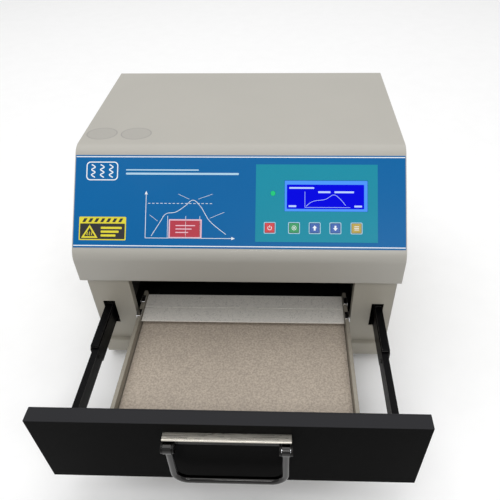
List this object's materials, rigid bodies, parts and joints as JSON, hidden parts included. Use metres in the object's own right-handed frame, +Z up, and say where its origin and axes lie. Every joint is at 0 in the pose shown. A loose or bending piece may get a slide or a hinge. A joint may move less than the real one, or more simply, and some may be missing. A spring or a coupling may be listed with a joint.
{
  "type": "benchtop reflow oven",
  "caption": "Benchtop infrared reflow oven with a slanted control panel and a pull-out tray drawer on telescopic slides, shown open.",
  "frame": {"origin": "on the bench, under the middle of the oven's overall width and depth with the drawer out as shown", "axes": "+Z up, the drawer opens towards -Y, +Y is the back, +X is the right side seen from the front"},
  "size_m": [0.332, 0.4478, 0.243],
  "materials": {
    "cover_paint": "fine light grey-beige powder coat",
    "chassis_paint": "fine light grey-beige powder coat",
    "label_blue": "printed polyester film",
    "overlay_teal": "printed polyester film",
    "display": "backlit blue display window",
    "display_steel": "black steel frame",
    "board_green": "solder-masked circuit board",
    "led_green": "diffused lens",
    "zinc_sheet": "galvanised sheet",
    "transformer_core": "lacquered laminations",
    "capacitor_sleeve": "shrink sleeve",
    "heatsink_alu": "extruded",
    "liner_steel": "aluminised sheet",
    "wool": "pressed mineral wool board",
    "quartz": "clear quartz",
    "filament": "oxidised resistance wire",
    "end_ceramic": "unglazed",
    "probe": "sheathed probe",
    "black_plastic": "moulded",
    "guard_chrome": "plated wire",
    "rocker_red": "moulded",
    "foot_rubber": "moulded",
    "screw_zinc": "zinc plated",
    "slide_black": "black electrophoretic coat",
    "drawer_black": "fine black powder coat",
    "tray_board": "matt mineral board with a fine grain",
    "clip_chrome": "bright plated",
    "handle_chrome": "bright plated",
    "key_red": "moulded",
    "key_green": "moulded",
    "key_blue": "moulded",
    "key_gold": "moulded"
  },
  "bodies": {
    "cabinet": {"top_cover": "cover_paint", "side_panel_left": "cover_paint", "side_panel_right": "cover_paint", "front_frame": "chassis_paint", "base_pan": "chassis_paint", "floor_plate": "slide_black", "rear_panel": "chassis_paint", "front_label": "label_blue", "keypad_overlay": "overlay_teal", "display_glass": "display", "display_frame": "display_steel", "display_board": "board_green", "status_led": "led_green", "control_board": "board_green", "electronics_shelf": "zinc_sheet", "power_board": "board_green", "transformer": "transformer_core", "capacitors": "capacitor_sleeve", "heatsink": "heatsink_alu", "chamber_liner": "liner_steel", "insulation": "wool", "reflector": "liner_steel", "heater_tubes": "quartz", "heater_filaments": "filament", "heater_end_caps": "end_ceramic", "heater_brackets": "liner_steel", "thermocouple": "probe", "fan_frame": "black_plastic", "fan_guard": "guard_chrome", "power_inlet": "black_plastic", "fuse_holder": "black_plastic", "switch_body": "black_plastic", "rubber_feet": "foot_rubber", "foot_screws": "screw_zinc", "rear_screws": "screw_zinc", "slide_bracket_left": "zinc_sheet", "slide_bracket_right": "zinc_sheet", "slide_outer_left": "slide_black", "slide_outer_right": "slide_black"},
    "drawer": {"drawer_front": "drawer_black", "drawer_back": "drawer_black", "drawer_screws": "screw_zinc", "tray_pan": "zinc_sheet", "tray_plate": "tray_board", "tray_rear_strips": "zinc_sheet", "tray_clips": "clip_chrome", "slide_inner_left": "slide_black", "slide_inner_right": "slide_black", "handle_bracket": "handle_chrome", "handle_pins": "handle_chrome"},
    "slide_middles": {"slide_middle_left": "slide_black", "slide_middle_right": "slide_black"},
    "bail": {"handle_bail": "handle_chrome"},
    "fan": {"fan_rotor": "black_plastic"},
    "rocker": {"switch_rocker": "rocker_red"},
    "key_power": {"key_power": "key_red"},
    "key_auto": {"key_auto": "key_green"},
    "key_up": {"key_up": "key_blue"},
    "key_down": {"key_down": "key_blue"},
    "key_set": {"key_set": "key_gold"}
  },
  "joints": [
    {"name": "drawer_slide", "type": "slide", "parent": "cabinet", "child": "drawer", "axis": [0, 1, 0], "range_m": [0, 0.158]},
    {"name": "slide_middle_travel", "type": "slide", "parent": "cabinet", "child": "slide_middles", "axis": [0, 1, 0], "range_m": [0, 0.079]},
    {"name": "bail_swing", "type": "hinge", "parent": "drawer", "child": "bail", "pos_m": [0, -0.2189, 0.103], "axis": [-1, 0, 0], "range_deg": [0, 85]},
    {"name": "fan_spin", "type": "hinge", "parent": "cabinet", "child": "fan", "pos_m": [0, 0.2067, 0.112], "axis": [0, 1, 0], "continuous": true},
    {"name": "rocker_tilt", "type": "hinge", "parent": "cabinet", "child": "rocker", "pos_m": [0.112, 0.2149, 0.1], "axis": [1, 0, 0], "range_deg": [0, 16]},
    {"name": "key_power_press", "type": "slide", "parent": "cabinet", "child": "key_power", "axis": [0, 0.7017, -0.7125], "range_m": [0, 0.0005], "stiffness_N_per_m": 400},
    {"name": "key_auto_press", "type": "slide", "parent": "cabinet", "child": "key_auto", "axis": [0, 0.7017, -0.7125], "range_m": [0, 0.0005], "stiffness_N_per_m": 400},
    {"name": "key_up_press", "type": "slide", "parent": "cabinet", "child": "key_up", "axis": [0, 0.7017, -0.7125], "range_m": [0, 0.0005], "stiffness_N_per_m": 400},
    {"name": "key_down_press", "type": "slide", "parent": "cabinet", "child": "key_down", "axis": [0, 0.7017, -0.7125], "range_m": [0, 0.0005], "stiffness_N_per_m": 400},
    {"name": "key_set_press", "type": "slide", "parent": "cabinet", "child": "key_set", "axis": [0, 0.7017, -0.7125], "range_m": [0, 0.0005], "stiffness_N_per_m": 400}
  ],
  "couplings": [
    {"joint": "slide_middle_travel", "follows": "drawer_slide", "ratio": 0.5}
  ]
}
